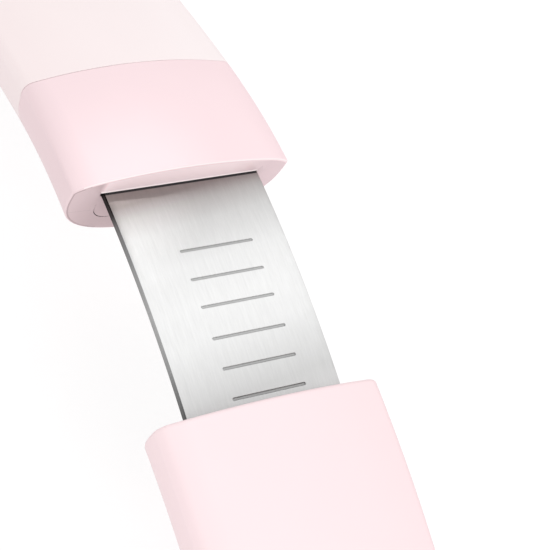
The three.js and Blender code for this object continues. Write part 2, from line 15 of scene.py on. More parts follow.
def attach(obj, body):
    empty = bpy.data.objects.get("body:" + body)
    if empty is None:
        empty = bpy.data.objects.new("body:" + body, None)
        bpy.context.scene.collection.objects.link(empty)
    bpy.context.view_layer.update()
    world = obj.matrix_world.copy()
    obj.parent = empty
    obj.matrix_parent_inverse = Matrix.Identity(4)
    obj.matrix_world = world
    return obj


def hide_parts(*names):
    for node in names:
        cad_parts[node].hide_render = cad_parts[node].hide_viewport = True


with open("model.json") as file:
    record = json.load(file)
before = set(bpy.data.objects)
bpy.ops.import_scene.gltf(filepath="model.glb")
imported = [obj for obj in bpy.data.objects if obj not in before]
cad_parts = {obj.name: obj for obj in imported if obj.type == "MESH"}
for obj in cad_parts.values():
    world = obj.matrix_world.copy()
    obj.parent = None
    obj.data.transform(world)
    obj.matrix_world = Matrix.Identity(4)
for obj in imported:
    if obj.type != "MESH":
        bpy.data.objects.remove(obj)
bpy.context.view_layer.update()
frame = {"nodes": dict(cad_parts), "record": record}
RECORD = frame["record"]

# ------------------------------------------------------------------ the wand's shape, as in the CAD part
REST_PITCH = math.radians(5.8)
BLADE_RADIUS = 204
COLLAR_LENGTH, COLLAR_RADIUS = 22.7, 98
NECK_LENGTH, NECK_RADIUS = 40, 312
GRIP_LENGTH = 68
TAIL_END = -(COLLAR_LENGTH + NECK_LENGTH + GRIP_LENGTH)

HALF_WIDTH = 21.1
FRONT_H, BACK_H = 4.6, -13.2
MID_H = (FRONT_H + BACK_H) / 2
HALF_DEPTH = (FRONT_H - BACK_H) / 2
CROWN_RADIUS = 91
CORNER_RADIUS = 2.2
BOWL_POWER = 2.6
SHUT_LINE_SIZE, TAIL_SIZE = 0.974, 0.9
TAIL_ROUND, CAP_ROUND = 4, 5.5
PARTING_H = -7.5
WALL = 1.8
COLLAR_WALL, COLLAR_FACE, COLLAR_EDGE = 2.0, 3.0, 0.4
MOUTH_ROLL, MOUTH_SIDE = 5.0, 0.7  # the mouth's roll-off in front, and its sides' extra height
SEAM = 0.07  # half of the fine gap where two skins meet
EASE = 0.05  # the smooth skins run this far inside the CAD part's corners

CAP_LENGTH, CAP_SIZE, CAP_TIP_SIZE = 56.92, 1.015, 1.0
CAP_EDGE = 0.8  # the rounding of the cap's mouth
PULL_RADIUS, PULL_LEAD = 498, math.radians(3.93)  # the flat arc that the cap slides along
DRAWN = 41.1  # how far along it the cap is drawn off

BUTTON_S, BUTTON_LENGTH, BUTTON_WIDTH, BUTTON_PROUD = -70, 16, 8, 0.35
LIGHTS = (-84, -90, -96)
LIGHT_RADIUS = 0.9
SLOT_TOP, SLOT_LEFT, SLOT_RIGHT = 0.06, -15.4, 15.08
SLOT_BOTTOM, SLOT_BOTTOM_HALF, SLOT_CORNER = -8.22, 14.88, 3.6
SLOT_LIP = 0.12  # a fine chamfer along the slot's top edge
SLOT_BROW = 0.14  # how far that edge stands out of the end face
BLADE_HALF_WIDTH, BLADE_THICKNESS, BLADE_TIP, BLADE_TAIL = 15, 1.0, 52, -34
BLADE_SHOULDER, BLADE_TAIL_HALF_WIDTH = -4.5, 11
BLADE_ROOT = 0.56  # where the steel's painted shadow by the slot ends
BLADE_BREAK = 0.2  # how far the blade's sharp edges are broken
BEVEL_LENGTH, BEVEL_EDGE = 4.5, 0.35
GROOVES = (12.8, 18.05, 23.05, 28.65, 33.9, 39.1)
GROOVE_LENGTH, GROOVE_WIDTH, GROOVE_DEPTH, GROOVE_X = 14.2, 0.48, 0.22, 1.4
PLATE_S, PLATE_LENGTH, PLATE_WIDTH, PLATE_CORNER = -47.2, 34, 14, 3
PORT_H, PORT_WIDTH, PORT_HEIGHT, PORT_CORNER = -4.1, 11.4, 5.7, 2.6


def joint(name):
    return next(j for j in RECORD["behaviour"]["joints"] if j["name"] == name)


PITCH = Matrix.Rotation(REST_PITCH, 3, "X")
PULL_CENTRE = Vector(joint("cap_pull")["pos_m"])
PULL_ARM = Vector((0, PULL_RADIUS * math.sin(PULL_LEAD), -PULL_RADIUS * math.cos(PULL_LEAD)))
ORIGIN = PULL_CENTRE - PITCH @ PULL_ARM / 1000
DRAW_OFF = Matrix.Rotation(DRAWN / PULL_RADIUS, 3, "X")


def arc(s, radius):
    """Where an arc that starts level ends after s, as y, z and how far it has turned down."""
    a = s / radius
    return -radius * math.sin(a), -radius * (1 - math.cos(a)), a


def joined(start, step):
    """A step taken from where another one ended."""
    y0, z0, a0 = start
    y, z, a = step
    c, n = math.cos(a0), math.sin(a0)
    return y0 + y * c - z * n, z0 + y * n + z * c, a0 + a


def spine(s):
    """Where the spine is at s, and how far its tangent has turned down."""
    if s >= 0:
        return arc(s, BLADE_RADIUS)
    where = arc(max(s, -COLLAR_LENGTH), COLLAR_RADIUS)
    if s < -COLLAR_LENGTH:
        where = joined(where, arc(max(s + COLLAR_LENGTH, -NECK_LENGTH), NECK_RADIUS))
    if s < -COLLAR_LENGTH - NECK_LENGTH:
        where = joined(where, (-(s + COLLAR_LENGTH + NECK_LENGTH), 0, 0))
    return where


def place(x, s, h):
    """A place on the wand, in metres in the row's frame."""
    y, z, a = spine(s)
    return ORIGIN + PITCH @ Vector((x, y - h * math.sin(a), z + h * math.cos(a))) / 1000


def cap_place(x, s, h):
    """A place on the cap, which is drawn part of the way off."""
    return PULL_CENTRE + DRAW_OFF @ (place(x, s, h) - PULL_CENTRE)


def size_at(s):
    """Section size along the wand, as a share of the size at the collar's end face."""
    if s >= 0:
        return 1.0
    if s > -COLLAR_LENGTH:
        return 1 + (SHUT_LINE_SIZE - 1) * (-s / COLLAR_LENGTH)
    along = (-s - COLLAR_LENGTH) / (NECK_LENGTH + GRIP_LENGTH)
    return SHUT_LINE_SIZE + (TAIL_SIZE - SHUT_LINE_SIZE) * along


def cap_size(s):
    return CAP_SIZE + (CAP_TIP_SIZE - CAP_SIZE) * s / CAP_LENGTH


# ------------------------------------------------------------------ the cross-section, finely
CROWN_CENTRE = FRONT_H - CROWN_RADIUS
CORNER_X = HALF_WIDTH - CORNER_RADIUS
CORNER_H = CROWN_CENTRE + math.sqrt((CROWN_RADIUS - CORNER_RADIUS) ** 2 - CORNER_X**2)
CORNER_TURN = math.atan2(CORNER_H - CROWN_CENTRE, CORNER_X)
BOWL_DEPTH = CORNER_H - BACK_H
CROWN_STEPS, CORNER_STEPS, SIDE_STEPS, FLOOR_STEPS = 16, 8, 9, 15  # for half of the section


def crown_h(x):
    return CROWN_CENTRE + math.sqrt(CROWN_RADIUS**2 - x * x)


def bowl_h(x):
    return CORNER_H - BOWL_DEPTH * (1 - abs(x / HALF_WIDTH) ** BOWL_POWER) ** (1 / BOWL_POWER)


def bowl_point(t):
    x = HALF_WIDTH * max(math.cos(t), 0) ** (2 / BOWL_POWER)
    return x, bowl_h(x)


def right_half(cut_h):
    """The right half: from the crown's middle down to cut_h, and from there to the bottom's middle."""
    upper, lower = [], []
    for i in range(CROWN_STEPS):
        x = CROWN_RADIUS * math.sin((math.pi / 2 - CORNER_TURN) * i / CROWN_STEPS)
        upper.append((x, crown_h(x)))
    for i in range(CORNER_STEPS):
        t = CORNER_TURN * (1 - i / CORNER_STEPS)
        upper.append((CORNER_X + CORNER_RADIUS * math.cos(t), CORNER_H + CORNER_RADIUS * math.sin(t)))
    cut = math.asin(((CORNER_H - cut_h) / BOWL_DEPTH) ** (BOWL_POWER / 2))
    for i in range(SIDE_STEPS + 1):
        upper.append(bowl_point(cut * (i / SIDE_STEPS) ** (BOWL_POWER / 2)))
    for i in range(FLOOR_STEPS + 1):
        left_over = (1 - i / FLOOR_STEPS) ** (BOWL_POWER / 2)
        lower.append(bowl_point(math.pi / 2 - (math.pi / 2 - cut) * left_over))
    return upper, lower


def mirrored(points):
    return [(-x, h) for x, h in points]


def front_outline(cut_h):
    """From the left side at cut_h over the crown to the right side."""
    upper, _ = right_half(cut_h)
    return mirrored(upper[:0:-1]) + upper


def back_outline(cut_h):
    """From the right side at cut_h under the bowl to the left side."""
    _, lower = right_half(cut_h)
    return lower + mirrored(lower[-2::-1])


def inset(point, amount, size):
    """A section point at some size, drawn in by amount all round."""
    x, h = point
    across = (HALF_WIDTH * size - amount - EASE) / HALF_WIDTH
    deep = (HALF_DEPTH * size - amount - EASE) / HALF_DEPTH
    return x * across, MID_H + (h - MID_H) * deep


def section():
    """The closed section at full size, as flat (x, h) points."""
    return front_outline(PARTING_H) + back_outline(PARTING_H)[1:-1]


def whole_ring(drawn, size):
    return [inset(p, drawn, size) for p in section()]


def mouth_shifts():
    """How far each section point rises at the collar's mouth, where the front meets taller sides."""
    drop = crown_h(HALF_WIDTH) - CORNER_H - MOUTH_SIDE
    shifts = []
    for x, h in section():
        near = 1 - (HALF_WIDTH - abs(x)) / MOUTH_ROLL
        rolled = h >= CORNER_H - 1e-6 and near > 0
        shifts.append(crown_h(x) - drop * (1 - math.sqrt(1 - min(near, 1) ** 2)) - h if rolled else 0)
    return shifts


MOUTH_SHIFTS = mouth_shifts()


def collar_ring(drawn, s):
    """The collar's section at s, which changes evenly from the handle's to the mouth's."""
    t = 1 + s / COLLAR_LENGTH
    change = min(max(t * (2 - t), 0), 1)
    return [(x, h + change * rise) for (x, h), rise in zip(whole_ring(drawn, size_at(s)), MOUTH_SHIFTS)]


# ------------------------------------------------------------------ meshes
MAP_UNIT = 10  # one unit of the UV map "wand", in mm
EDGE_STEP = 1.2  # the longest side that an outline is left with
ROW_STEP = 1.4  # from one ring of points to the next, and from point to point inside an outline


def on_map(p):
    return p[0] / MAP_UNIT, p[1] / MAP_UNIT


class Skin:
    """Points and faces being put together. Points closer than a micron are one."""

    def __init__(self):
        self.verts, self.faces, self.finishes, self.uv, self.seen = [], [], [], [], {}

    def point(self, where, uv=(0, 0)):
        key = tuple(round(c * 1e6) for c in where)
        if key not in self.seen:
            self.seen[key] = len(self.verts)
            self.verts.append(tuple(where))
            self.uv.append(uv)
        return self.seen[key]

    def face(self, corners, finish):
        self.faces.append(corners)
        self.finishes.append(finish)

    def strip(self, low, high, closed=False, finish=0):
        """Quads between two equally long rows of points."""
        low, high = [self.point(p) for p in low], [self.point(p) for p in high]
        last = len(low) if closed else len(low) - 1
        for i in range(last):
            k = (i + 1) % len(low)
            corners = list(dict.fromkeys([low[i], low[k], high[k], high[i]]))
            if len(corners) > 2:
                self.face(corners, finish)

    def loft(self, rings, finish=0):
        for low, high in zip(rings, rings[1:]):
            self.strip(low, high, closed=True, finish=finish)

    def sheet(self, edge, to_point, spacing=ROW_STEP, lines=(), holes=(), finish_at=lambda x, y: 0):
        """Triangles over a flat outline, mapped to 3-D. Lines are loops to follow, and holes stay open."""
        flat, sides = [], []
        for loop in [edge, *lines, *holes]:
            start = len(flat)
            flat += loop
            sides += [(start + i, start + (i + 1) % len(loop)) for i in range(len(loop))]
        for p in grid_in(edge, spacing):
            if clear_of(p, [edge, *lines, *holes], 0.4 * spacing):
                flat.append(p)
        verts, _, faces, origins, *_ = delaunay_2d_cdt([Vector(p) for p in flat], sides, [], 1, 1e-6)
        where = [flat[o[0]] if o else tuple(v) for v, o in zip(verts, origins)]
        ids = [self.point(to_point(*p), on_map(p)) for p in where]
        for face in faces:
            middle = [sum(where[i][k] for i in face) / len(face) for k in (0, 1)]
            if not any(inside(middle, hole) for hole in holes) and len({ids[i] for i in face}) == len(face):
                self.face([ids[i] for i in face], finish_at(*middle))

    def piece(self, name, body, replaced, slot_name, *finishes):
        """The finished object, riding on its body and standing for its CAD node."""
        mesh = bpy.data.meshes.new(name)
        mesh.from_pydata(self.verts, [], self.faces)
        mesh.polygons.foreach_set("material_index", self.finishes)
        layer = mesh.uv_layers.new(name="wand")
        for loop in mesh.loops:
            layer.data[loop.index].uv = self.uv[loop.vertex_index]
        work = bmesh.new()
        work.from_mesh(mesh)
        bmesh.ops.recalc_face_normals(work, faces=work.faces)
        work.to_mesh(mesh)
        work.free()
        mesh.shade_smooth()
        for finish in finishes:
            mesh.materials.append(finish)
        made = bpy.data.objects.new(name, mesh)
        bpy.context.scene.collection.objects.link(made)
        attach(made, body)
        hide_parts(replaced)
        return made


def grid_in(edge, spacing):
    """Points of a square grid that lie inside a loop, with every other row shifted by half a step."""
    xs, ys = [p[0] for p in edge], [p[1] for p in edge]
    points = []
    for j in range(int((max(ys) - min(ys)) / spacing) + 1):
        for i in range(int((max(xs) - min(xs)) / spacing) + 1):
            p = (min(xs) + (i + 0.5 * (j % 2)) * spacing, min(ys) + j * spacing)
            if inside(p, edge):
                points.append(p)
    return points


def inside(p, loop):
    x, y = p
    odd = False
    for (x0, y0), (x1, y1) in zip(loop, loop[1:] + loop[:1]):
        if (y0 > y) != (y1 > y) and x < x0 + (x1 - x0) * (y - y0) / (y1 - y0):
            odd = not odd
    return odd


def clear_of(p, loops, gap):
    """Whether p keeps its distance from the sides of every loop."""
    x, y = p
    for loop in loops:
        for (x0, y0), (x1, y1) in zip(loop, loop[1:] + loop[:1]):
            if min(x0, x1) - gap > x or max(x0, x1) + gap < x:
                continue
            if min(y0, y1) - gap > y or max(y0, y1) + gap < y:
                continue
            length2 = max((x1 - x0) ** 2 + (y1 - y0) ** 2, 1e-12)
            t = max(0, min(1, ((x - x0) * (x1 - x0) + (y - y0) * (y1 - y0)) / length2))
            if (x0 + (x1 - x0) * t - x) ** 2 + (y0 + (y1 - y0) * t - y) ** 2 < gap * gap:
                return False
    return True


def split_long(loop, longest, closed=True):
    """Adds points so that no side is longer than longest."""
    out = []
    ends = loop[1:] + loop[:1] if closed else loop[1:]
    for p, q in zip(loop, ends):
        n = max(1, math.ceil(math.dist(p, q) / longest - 1e-6))
        out += [(p[0] + (q[0] - p[0]) * i / n, p[1] + (q[1] - p[1]) * i / n) for i in range(n)]
    return out if closed else [*out, loop[-1]]


def rounded_loop(x, y, width, height, radius, steps=8, longest=EDGE_STEP):
    """A rectangle with round corners about (x, y), anticlockwise."""
    points = []
    cx, cy = width / 2 - radius, height / 2 - radius
    for k, (sx, sy) in enumerate([(1, 1), (-1, 1), (-1, -1), (1, -1)]):
        for i in range(steps + 1):
            t = math.pi / 2 * (k + i / steps)
            p = (x + sx * cx + radius * math.cos(t), y + sy * cy + radius * math.sin(t))
            if not points or math.dist(p, points[-1]) > 1e-4:
                points.append(p)
    if math.dist(points[0], points[-1]) < 1e-4:
        points.pop()
    return split_long(points, longest)


def spread(low, high, step):
    n = max(1, round(abs(high - low) / step))
    return [low + (high - low) * i / n for i in range(n + 1)]


def quarter(radius, steps):
    """Turns of a rounded edge from its side to its face: (sine, 1 - cosine) of each, times radius."""
    turns = [math.pi / 2 * i / steps for i in range(steps + 1)]
    return [(radius * math.sin(t), radius * (1 - math.cos(t))) for t in turns]


def soften(piece, width, segments=3):
    """Rounds the piece's sharp edges."""
    edges = piece.modifiers.new("soft_edges", "BEVEL")
    edges.width = width / 1000
    edges.segments = segments
    edges.limit_method = "ANGLE"
    edges.angle_limit = math.radians(38)
    edges.use_clamp_overlap = True
    edges.harden_normals = True


def even_shading(piece):
    piece.modifiers.new("even_shading", "WEIGHTED_NORMAL").keep_sharp = True


# ------------------------------------------------------------------ finishes
def material(name):
    made = bpy.data.materials.new(name)
    made.use_nodes = True
    return made, made.node_tree, made.node_tree.nodes["Principled BSDF"]


def node(tree, kind, **settings):
    """A shader node. Settings in capitals are its sockets, the others its own properties."""
    made = tree.nodes.new(kind)
    for key, value in settings.items():
        if key in made.inputs:
            made.inputs[key].default_value = value
        else:
            setattr(made, key, value)
    return made


def noise(tree, coordinates, stretch, scale, detail=3.0, roughness=0.55):
    """Noise stretched by different amounts along X, Y and Z."""
    mapping = node(tree, "ShaderNodeMapping", Scale=stretch)
    tree.links.new(coordinates, mapping.inputs["Vector"])
    made = node(tree, "ShaderNodeTexNoise", Scale=scale, Detail=detail, Roughness=roughness)
    tree.links.new(mapping.outputs["Vector"], made.inputs["Vector"])
    return made.outputs["Fac"]


def ramp(tree, source, stops):
    """A colour ramp with stops given as (position, colour)."""
    made = node(tree, "ShaderNodeValToRGB")
    tree.links.new(source, made.inputs["Fac"])
    while len(made.color_ramp.elements) < len(stops):
        made.color_ramp.elements.new(0.5)
    for stop, (position, colour) in zip(made.color_ramp.elements, stops):
        stop.position = position
        stop.color = (*colour, 1)
    return made.outputs["Color"]


def multiply(tree, a, b):
    made = node(tree, "ShaderNodeMix", data_type="RGBA", blend_type="MULTIPLY")
    made.inputs["Factor"].default_value = 1
    tree.links.new(a, made.inputs["A"])
    tree.links.new(b, made.inputs["B"])
    return made.outputs["Result"]


def remap(tree, source, low, high):
    made = node(tree, "ShaderNodeMapRange")
    made.inputs["To Min"].default_value = low
    made.inputs["To Max"].default_value = high
    tree.links.new(source, made.inputs["Value"])
    return made.outputs["Result"]


def relief(tree, source, strength, distance, bsdf):
    made = node(tree, "ShaderNodeBump", Strength=strength, Distance=distance)
    tree.links.new(source, made.inputs["Height"])
    tree.links.new(made.outputs["Normal"], bsdf.inputs["Normal"])


def shade(colour, factor):
    return tuple(min(1, c * factor) for c in colour)


WHITE = (1, 1, 1)
SATIN = 0.34  # the roughness of the outer plastics
COLLAR_COLOUR = (0.973, 0.776, 0.803)
# Painted shade: the plastic is darker where it turns away from view, as (facing, colour).
TURNED_AWAY_SHADE = [(0.4, WHITE), (0.85, (0.92, 0.89, 0.895)), (1.0, (0.78, 0.72, 0.73))]


def moulded(name, colour, roughness, grain=0.04, coat=0.0):
    """Moulded plastic: slow colour drift, fine texture, uneven gloss, and painted shade where it turns away
    from view.
    """
    made, tree, bsdf = material(name)
    where = node(tree, "ShaderNodeTexCoord").outputs["Object"]
    drift = noise(tree, where, (1, 1, 1), 45, 2)
    tone = ramp(tree, drift, [(0.3, shade(colour, 0.985)), (0.7, colour)])
    turned = node(tree, "ShaderNodeLayerWeight", Blend=0.5).outputs["Facing"]
    tree.links.new(multiply(tree, tone, ramp(tree, turned, TURNED_AWAY_SHADE)), bsdf.inputs["Base Color"])
    haze = noise(tree, where, (1, 1, 1), 320, 4)
    tree.links.new(remap(tree, haze, roughness - 0.03, roughness + 0.04), bsdf.inputs["Roughness"])
    relief(tree, noise(tree, where, (1, 1, 1), 5200, 2), grain, 0.00002, bsdf)
    bsdf.inputs["IOR"].default_value = 1.48
    bsdf.inputs["Specular IOR Level"].default_value = 0.3
    bsdf.inputs["Coat Weight"].default_value = coat
    bsdf.inputs["Coat Roughness"].default_value = 0.12
    return made


# The steel's painted light along the blade, as (s + TONE_SLANT * x, colour): a painted reflection of the
# shaded collar, darker and pinkish by the collar, a painted highlight halfway, and painted shade towards the
# cap.
TONE_SLANT = 0.13
TONE_SPAN = 60
STEEL_PAINTED_REFLECTION = [
    (0, (0.275, 0.238, 0.229)), (1.5, (0.27, 0.238, 0.231)), (4.5, (0.47, 0.452, 0.446)),
    (8, (0.64, 0.635, 0.63)), (15, (0.82, 0.82, 0.817)), (22, (0.86, 0.86, 0.857)),
    (28, (0.83, 0.83, 0.827)), (38, (0.63, 0.63, 0.627)), (46, (0.7, 0.7, 0.697)),
]
# The cut edge's painted shade along the blade, as (s + TONE_SLANT * x, colour): near black by the collar,
# lighter halfway.
EDGE_PAINTED_SHADE = [
    (0, (0.006, 0.004, 0.004)), (2.5, (0.025, 0.02, 0.02)), (4.5, (0.15, 0.14, 0.14)),
    (10, (0.25, 0.25, 0.25)), (20, (0.43, 0.43, 0.43)), (28, (0.36, 0.36, 0.36)),
    (38, (0.11, 0.11, 0.11)), (46, (0.3, 0.3, 0.3)),
]


def painted_light_along(tree, where, painted_tones):
    """Painted light and shade that follow the blade."""
    along = node(tree, "ShaderNodeVectorMath", operation="DOT_PRODUCT")
    along.inputs[1].default_value = (MAP_UNIT * TONE_SLANT / TONE_SPAN, MAP_UNIT / TONE_SPAN, 0)
    tree.links.new(where, along.inputs[0])
    return ramp(tree, along.outputs["Value"], [(s / TONE_SPAN, colour) for s, colour in painted_tones])


def brushed(name, painted_tones, roughness, contrast):
    """Steel brushed along the blade: streaks in colour, gloss and relief, on the blade's own map, times
    painted light and shade along it.
    """
    made, tree, bsdf = material(name)
    where = node(tree, "ShaderNodeUVMap", uv_map="wand").outputs["UV"]
    fine = noise(tree, where, (9, 0.7, 1), 3.0, 5, 0.8)
    broad = noise(tree, where, (6, 0.35, 1), 2.0, 3, 0.5)
    mixed = node(tree, "ShaderNodeMix", data_type="FLOAT")
    mixed.inputs["Factor"].default_value = 0.25
    tree.links.new(fine, mixed.inputs["A"])
    tree.links.new(broad, mixed.inputs["B"])
    streaks = mixed.outputs["Result"]
    grey = ramp(tree, streaks, [(0.35, shade(WHITE, 1 - contrast)), (0.65, WHITE)])
    tree.links.new(multiply(tree, grey, painted_light_along(tree, where, painted_tones)), bsdf.inputs["Base Color"])
    tree.links.new(remap(tree, streaks, roughness - 0.08, roughness + 0.08), bsdf.inputs["Roughness"])
    relief(tree, fine, 0.25, 0.00002, bsdf)
    bsdf.inputs["Metallic"].default_value = 0.7
    bsdf.inputs["Specular IOR Level"].default_value = 0.2
    bsdf.inputs["Anisotropic"].default_value = 0.55
    bsdf.inputs["Anisotropic Rotation"].default_value = 0.25
    tangent = node(tree, "ShaderNodeTangent", direction_type="UV_MAP", uv_map="wand")
    tree.links.new(tangent.outputs[0], bsdf.inputs["Tangent"])
    return made


ACROSS_SPAN = 44  # from the left end of a ramp across the wand to its right end


def ramp_across(tree, where, unit, stops):
    """A colour ramp from the wand's left side to its right, with stops at x. unit is the map's, in mm."""
    across = node(tree, "ShaderNodeVectorMath", operation="DOT_PRODUCT")
    across.inputs[1].default_value = (unit / ACROSS_SPAN, 0, 0)
    tree.links.new(where, across.inputs[0])
    centred = node(tree, "ShaderNodeMath", operation="ADD")
    centred.inputs[1].default_value = 0.5
    tree.links.new(across.outputs["Value"], centred.inputs[0])
    return ramp(tree, centred.outputs["Value"], [(x / ACROSS_SPAN + 0.5, colour) for x, colour in stops])


def shade_across(made, shade_stops, redness=1.0):
    """Paints shade on a finish from the wand's left side to its right, as (x, factor). Red changes by less.
    """
    tree = made.node_tree
    colour = tree.nodes["Principled BSDF"].inputs["Base Color"]
    where = node(tree, "ShaderNodeTexCoord").outputs["Object"]
    tint = ramp_across(tree, where, 1000, [(x, (value**redness, value, value)) for x, value in shade_stops])
    tree.links.new(multiply(tree, colour.links[0].from_socket, tint), colour)
    return made


# The end face's painted shade across the collar, as (x, colour), above the slot and below it: darker at the
# left and under the blade. The glow is painted light that the blade throws back, on the part above it only.
UPPER_FACE_SHADE = [
    (-20, (0.72, 0.56, 0.58)), (-15.8, (0.68, 0.52, 0.54)), (-14.8, (0.97, 0.77, 0.79)),
    (12, (0.97, 0.77, 0.79)), (17, (0.80, 0.62, 0.65)),
]
LOWER_FACE_SHADE = [
    (-20, (0.72, 0.56, 0.58)), (-14, (0.64, 0.485, 0.505)), (12, (0.66, 0.51, 0.53)),
    (17, (0.80, 0.62, 0.65)),
]
UPPER_GLOW = [
    (-16, (0, 0, 0)), (-14.8, (0.115, 0.107, 0.109)), (-4, (0.135, 0.127, 0.129)),
    (5, (0.15, 0.14, 0.142)), (9.5, (0.13, 0.122, 0.124)), (12.5, (0.06, 0.056, 0.057)),
    (14.5, (0, 0, 0)),
]


def end_face(name, painted_tones, glow=()):
    """The collar's plastic with painted shade across the end face. The glow is painted light that the blade
    throws on it.
    """
    made = moulded(name, COLLAR_COLOUR, SATIN)
    tree = made.node_tree
    bsdf = tree.nodes["Principled BSDF"]
    where = node(tree, "ShaderNodeUVMap", uv_map="wand").outputs["UV"]
    if glow:
        tree.links.new(ramp_across(tree, where, MAP_UNIT, glow), bsdf.inputs["Emission Color"])
        bsdf.inputs["Emission Strength"].default_value = 1
    mottle = noise(tree, where, (1, 1, 1), 1.5, 2)
    speckle = ramp(tree, mottle, [(0.3, shade(WHITE, 0.985)), (0.7, WHITE)])
    tone = ramp_across(tree, where, MAP_UNIT, painted_tones)
    tree.links.new(multiply(tree, speckle, tone), bsdf.inputs["Base Color"])
    return made


def metal(name, colour, roughness):
    """Plain metal with faint, finely scattered scuffs."""
    made, tree, bsdf = material(name)
    where = node(tree, "ShaderNodeTexCoord").outputs["Object"]
    scuffs = noise(tree, where, (1, 1, 1), 900, 5, 0.6)
    tone = ramp(tree, scuffs, [(0.3, shade(colour, 0.93)), (0.7, colour)])
    tree.links.new(tone, bsdf.inputs["Base Color"])
    tree.links.new(remap(tree, scuffs, roughness * 0.7, roughness * 1.4), bsdf.inputs["Roughness"])
    relief(tree, scuffs, 0.15, 0.00001, bsdf)
    bsdf.inputs["Metallic"].default_value = 1
    return made


# Painted light and shade across the wand, as (x, factor): the handle and collar darker on the left, the cap
# darker on the right.
HANDLE_SIDE_SHADE = [(-21, 0.9), (-16, 0.905), (-8, 0.93), (0, 0.947), (8, 0.972), (14, 1), (21, 1)]
COLLAR_SIDE_SHADE = [(-21, 0.885), (-19.5, 0.9), (-16.5, 0.965), (-5, 0.98), (8, 0.985), (17, 1), (21, 1)]
CAP_SIDE_SHADE = [(-21, 0.965), (-19.5, 0.97), (-16, 1), (-2, 0.983), (6, 0.967), (13, 0.955), (21, 0.94)]

FINISHES = {
    "blush_plastic": shade_across(moulded("blush_plastic", (0.995, 0.91, 0.91), SATIN), HANDLE_SIDE_SHADE, 0.6),
    "pink_plastic": shade_across(moulded("pink_plastic", COLLAR_COLOUR, SATIN), COLLAR_SIDE_SHADE),
    "brushed_steel": brushed("brushed_steel", STEEL_PAINTED_REFLECTION, 0.4, 0.11),
    "screw_steel": metal("screw_steel", (0.56, 0.56, 0.58), 0.35),
    "bright_plate": metal("bright_plate", (0.83, 0.83, 0.84), 0.16),
    "soft_rubber": moulded("soft_rubber", (0.78, 0.62, 0.64), 0.75, grain=0.25),
    "white_nylon": moulded("white_nylon", (0.80, 0.78, 0.73), 0.5, grain=0.1),
    "ceramic": moulded("ceramic", (0.72, 0.68, 0.56), 0.45, grain=0.1),
    "circuit_green": moulded("circuit_green", (0.02, 0.14, 0.06), 0.4, grain=0.1),
    "black_plastic": moulded("black_plastic", (0.02, 0.02, 0.021), 0.45, grain=0.1),
    "copper": metal("copper", (0.72, 0.34, 0.16), 0.3),
    "battery_film": moulded("battery_film", (0.12, 0.2, 0.33), 0.3, grain=0.08),
    "light_lens": moulded("light_lens", (0.86, 0.86, 0.85), 0.18, coat=0.5),
    "red_wire": moulded("red_wire", (0.42, 0.01, 0.015), 0.4),
    "black_wire": moulded("black_wire", (0.012, 0.012, 0.012), 0.4),
}
# The cap: a lighter copy of the pink plastic, painted light, with painted shade across it.
CAP_LIT_FINISH = shade_across(moulded("cap_plastic_lit", (0.985, 0.818, 0.838), SATIN), CAP_SIDE_SHADE, 0.4)
# The end face above and under the blade, with its painted shade and painted light.
UPPER_FACE = end_face("collar_face_upper", UPPER_FACE_SHADE, UPPER_GLOW)
LOWER_FACE = end_face("collar_face_lower", LOWER_FACE_SHADE)
# Painted shade: a darker pink line along the end face's left rim; the fine line across the face uses it too.
RIM_LINE = moulded("rim_line", (0.55, 0.41, 0.43), 0.4)
# Painted highlight on the slot's top lip and along the collar's front edge.
LIP_HIGHLIGHT = moulded("slot_lip_highlight", (0.98, 0.88, 0.88), 0.4)
# The blade's cut edge with its painted shade.
CUT_EDGE_SHADE = brushed("cut_edge_shade", EDGE_PAINTED_SHADE, 0.4, 0.25)
# The groove floor: the blade's painted reflection, times 0.62 as painted shade in the grooves.
GROOVE_FLOOR = brushed("groove_floor", [(s, shade(colour, 0.62)) for s, colour in STEEL_PAINTED_REFLECTION], 0.45, 0.1)


# ------------------------------------------------------------------ camera
def camera():
    """Looks at the blade from in front and to the left, leaning over."""
    aim = Vector((9.33, -20.28, 0)) / 1000
    distance = 0.317842
    azimuth, elevation, roll = math.radians(-55.875), math.radians(49.913), math.radians(37.969)
    away = Vector((math.cos(elevation) * math.sin(azimuth), -math.cos(elevation) * math.cos(azimuth),
                   math.sin(elevation)))
    turn = (-away).to_track_quat("-Z", "Y").to_matrix() @ Matrix.Rotation(roll, 3, "Z")
    data = bpy.data.cameras.new("camera")
    data.lens = 124.911
    data.sensor_width = 36
    data.clip_start = 0.01
    made = bpy.data.objects.new("camera", data)
    bpy.context.scene.collection.objects.link(made)
    stand = ORIGIN + PITCH @ (aim + away * distance)
    made.matrix_world = Matrix.Translation(stand) @ (PITCH @ turn).to_4x4()
    bpy.context.scene.camera = made


camera()


# ------------------------------------------------------------------ handle, in two shells
def handle_profile(depth):
    """(s, drawn in) from the collar to the tail's flat end, depth under the skin."""
    straight = [(s, depth) for s in spread(-COLLAR_LENGTH - SEAM, TAIL_END + TAIL_ROUND, 1.5)]
    turns = quarter(TAIL_ROUND - depth, 10)[1:]
    return straight + [(TAIL_END + TAIL_ROUND - along, depth + drawn) for along, drawn in turns]


def cut_in_outline(h, drawn, size):
    """The outline's own height that lands at h once the section is drawn in."""
    return MID_H + (h - MID_H) * HALF_DEPTH / (HALF_DEPTH * size - drawn)


